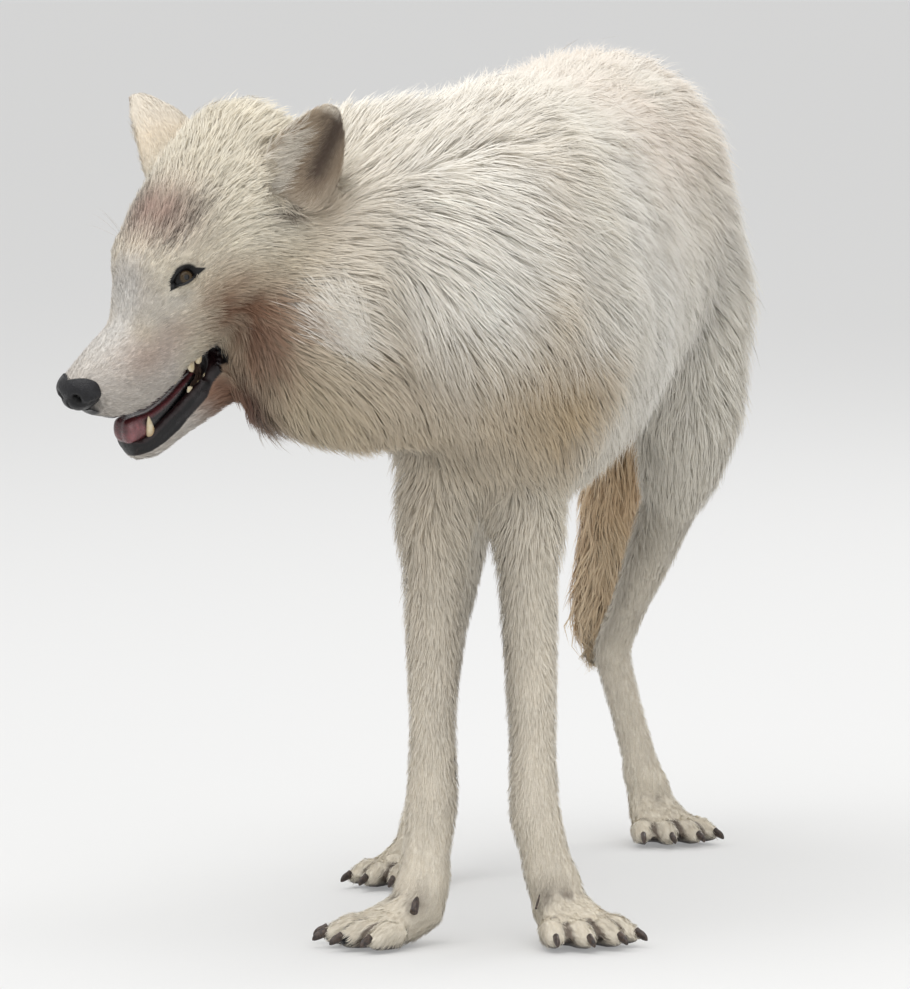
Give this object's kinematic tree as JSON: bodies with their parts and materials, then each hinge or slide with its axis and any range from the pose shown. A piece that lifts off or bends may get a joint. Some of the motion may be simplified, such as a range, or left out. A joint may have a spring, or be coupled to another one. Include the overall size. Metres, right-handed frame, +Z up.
{
  "type": "arctic wolf model",
  "caption": "Life-size standing arctic wolf, head turned to its right with the mouth open, as a still museum model that stands on its feet.",
  "frame": {"origin": "centre of the footprint of the bounding box, on the floor", "axes": "+Z up, -Y the way the body faces, +X the wolf's left side"},
  "size_m": [0.5374, 1.1794, 0.8514],
  "materials": {
    "body_coat": "thick creamy white fur",
    "face_coat": "short greyish white fur",
    "tail_coat": "thick pale rusty fur",
    "leg_coat": "short pale cream fur",
    "horn": "satin dark horn",
    "nose_leather": "moist pebbled skin",
    "tongue": "moist",
    "eye": "glossy"
  },
  "bodies": {
    "root": {"head": "face_coat", "lower_jaw": "face_coat", "tongue": "tongue", "nose": "nose_leather", "neck": "body_coat", "trunk": "body_coat", "tail": "tail_coat", "ear_left": "face_coat", "ear_right": "face_coat", "eye_left": "eye", "eye_right": "eye", "leg_front_left_upper": "leg_coat", "leg_front_left_lower": "leg_coat", "foot_front_left": "leg_coat", "claw_front_left_1": "horn", "claw_front_left_2": "horn", "claw_front_left_3": "horn", "claw_front_left_4": "horn", "leg_front_right_upper": "leg_coat", "leg_front_right_lower": "leg_coat", "foot_front_right": "leg_coat", "claw_front_right_1": "horn", "claw_front_right_2": "horn", "claw_front_right_3": "horn", "claw_front_right_4": "horn", "leg_hind_left_upper": "leg_coat", "leg_hind_left_lower": "leg_coat", "foot_hind_left": "leg_coat", "claw_hind_left_1": "horn", "claw_hind_left_2": "horn", "claw_hind_left_3": "horn", "claw_hind_left_4": "horn", "leg_hind_right_upper": "leg_coat", "leg_hind_right_lower": "leg_coat", "foot_hind_right": "leg_coat", "claw_hind_right_1": "horn", "claw_hind_right_2": "horn", "claw_hind_right_3": "horn", "claw_hind_right_4": "horn", "dewclaw_front_left": "horn", "dewclaw_front_right": "horn"}
  },
  "joints": []
}
